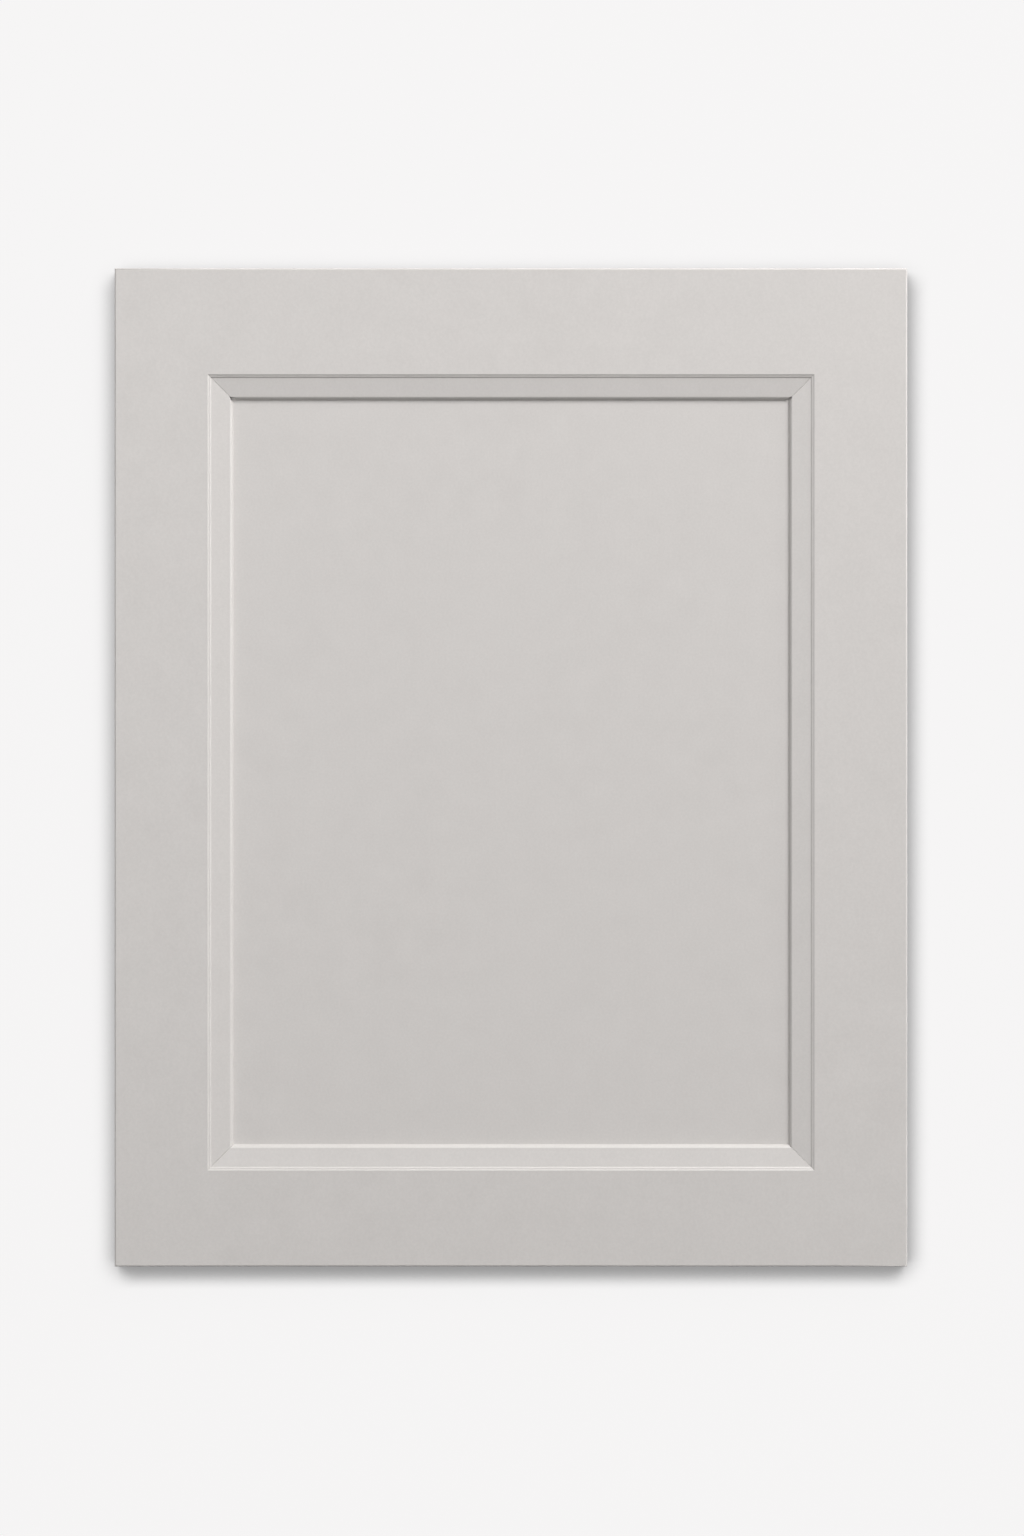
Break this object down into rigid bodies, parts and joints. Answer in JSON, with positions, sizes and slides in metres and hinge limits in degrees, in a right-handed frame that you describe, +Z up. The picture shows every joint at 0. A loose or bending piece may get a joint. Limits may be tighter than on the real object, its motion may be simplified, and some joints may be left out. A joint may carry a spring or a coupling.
{
  "type": "kitchen cabinet door",
  "caption": "Painted frame-and-panel cabinet door with a mitred inner moulding, its back bored for concealed cup hinges.",
  "frame": {"origin": "middle of the door's bottom edge, halfway through its thickness", "axes": "+X to the right seen from the front, +Y from the front face to the back, +Z up"},
  "size_m": [0.597, 0.019, 0.752],
  "materials": {
    "frame_lacquer": "satin",
    "panel_lacquer": "satin",
    "moulding_lacquer": "satin"
  },
  "bodies": {
    "root": {"left_stile": "frame_lacquer", "right_stile": "frame_lacquer", "top_rail": "frame_lacquer", "bottom_rail": "frame_lacquer", "centre_panel": "panel_lacquer", "top_moulding": "moulding_lacquer", "right_moulding": "moulding_lacquer", "bottom_moulding": "moulding_lacquer", "left_moulding": "moulding_lacquer"}
  },
  "joints": []
}
